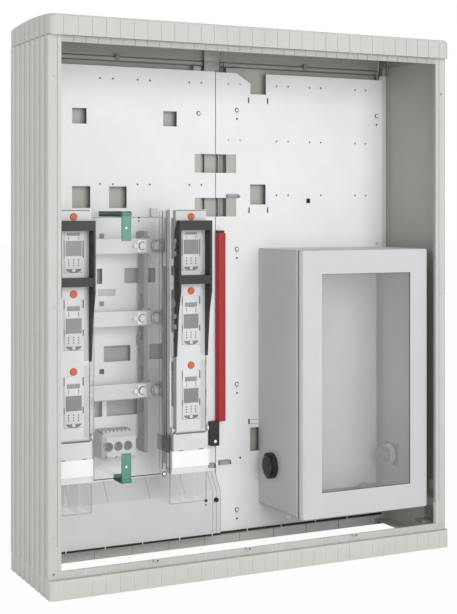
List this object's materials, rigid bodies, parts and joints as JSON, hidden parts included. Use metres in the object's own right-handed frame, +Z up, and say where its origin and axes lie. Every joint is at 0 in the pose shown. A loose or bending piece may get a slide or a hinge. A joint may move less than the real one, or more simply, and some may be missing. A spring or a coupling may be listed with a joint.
{
  "type": "cable distribution cabinet",
  "caption": "Ribbed free-standing outdoor cabinet with busbars, hinged fuse-switch strips, clear busbar cover and a windowed steel enclosure on mounting plates.",
  "frame": {"origin": "centre of the footprint on the ground", "axes": "+X along the width towards the window enclosure, +Y from the open front to the rear wall, +Z up"},
  "size_m": [1.115, 0.32, 1.366],
  "materials": {
    "grp_shell": "moulded glass-fibre polyester, light grey, fine texture",
    "galvanised_steel": "galvanised sheet steel",
    "white_plate": "powder-coated white sheet steel",
    "light_plate": "powder-coated light grey sheet steel",
    "black_plastic": "black glass-filled polyamide",
    "grey_plastic": "grey moulded polyamide",
    "tinned_copper": "tin-plated copper",
    "zinc_bolt": "zinc-plated steel",
    "clear_sheet": "clear polycarbonate",
    "green_plastic": "green moulded polyamide",
    "switch_housing": "light grey moulded housing plastic",
    "label_white": "plain white plastic",
    "smoked_port": "smoked clear plastic",
    "orange_plastic": "orange plastic",
    "fuse_ceramic": "glazed white ceramic with silvered blades",
    "red_plastic": "red insulating plastic",
    "enclosure_paint": "powder-coated light grey sheet steel",
    "window_glass": "clear safety glass",
    "foam_seal": "foamed polyurethane seal"
  },
  "bodies": {
    "cabinet": {"base_frame": "grp_shell", "blanking_plugs": "black_plastic", "busbar_bolts": "zinc_bolt", "busbar_bottom": "tinned_copper", "busbar_cover": "clear_sheet", "busbar_middle": "tinned_copper", "busbar_supports": "grey_plastic", "busbar_top": "tinned_copper", "cable_shrouds": "clear_sheet", "cover_arm_bottom": "green_plastic", "cover_arm_top": "green_plastic", "cover_brackets": "clear_sheet", "enclosure_back_plate": "galvanised_steel", "enclosure_body": "enclosure_paint", "enclosure_catches": "zinc_bolt", "enclosure_gland": "grey_plastic", "enclosure_hinges": "zinc_bolt", "foundation_brackets": "galvanised_steel", "label_plates": "label_white", "lintel": "grp_shell", "lower_panel": "light_plate", "mounting_plate_left": "white_plate", "mounting_plate_right": "white_plate", "panel_knob": "black_plastic", "plate_clips": "grey_plastic", "rail_clips": "galvanised_steel", "rail_left": "galvanised_steel", "rail_mid_left": "galvanised_steel", "rail_mid_right": "galvanised_steel", "rail_right": "galvanised_steel", "rear_wall": "grp_shell", "red_bar": "red_plastic", "red_bar_mounts": "black_plastic", "roof": "grp_shell", "side_wall_left": "grp_shell", "side_wall_right": "grp_shell", "strip_base_left": "switch_housing", "strip_base_right": "switch_housing", "strip_contacts_left": "tinned_copper", "strip_contacts_right": "tinned_copper", "terminal_block": "grey_plastic", "terminal_covers": "switch_housing", "top_rail": "galvanised_steel", "wall_latch": "galvanised_steel"},
    "lid_left": {"strip_lid_left": "switch_housing", "strip_handle_left": "black_plastic", "strip_windows_left": "smoked_port", "strip_test_caps_left": "orange_plastic", "fuse_links_left": "fuse_ceramic"},
    "lid_right": {"strip_lid_right": "switch_housing", "strip_handle_right": "black_plastic", "strip_windows_right": "smoked_port", "strip_test_caps_right": "orange_plastic", "fuse_links_right": "fuse_ceramic"},
    "latch_top": {"cover_latch_top": "green_plastic"},
    "latch_bottom": {"cover_latch_bottom": "green_plastic"},
    "window_door": {"enclosure_door": "enclosure_paint", "enclosure_glass": "window_glass", "enclosure_seal": "foam_seal"}
  },
  "joints": [
    {"name": "lid_left_tilt", "type": "hinge", "parent": "cabinet", "child": "lid_left", "pos_m": [-0.473, -0.072, 0.357], "axis": [1, 0, 0], "range_deg": [0, 40]},
    {"name": "lid_right_tilt", "type": "hinge", "parent": "cabinet", "child": "lid_right", "pos_m": [-0.166, -0.072, 0.357], "axis": [1, 0, 0], "range_deg": [0, 40]},
    {"name": "latch_top_fold", "type": "hinge", "parent": "cabinet", "child": "latch_top", "pos_m": [-0.339, -0.084, 0.894], "axis": [-1, 0, 0], "range_deg": [0, 95]},
    {"name": "latch_bottom_fold", "type": "hinge", "parent": "cabinet", "child": "latch_bottom", "pos_m": [-0.339, -0.084, 0.246], "axis": [1, 0, 0], "range_deg": [0, 95]},
    {"name": "window_door_swing", "type": "hinge", "parent": "cabinet", "child": "window_door", "pos_m": [0.5055, -0.1045, 0.455], "axis": [0, 0, 1], "range_deg": [0, 90]}
  ]
}
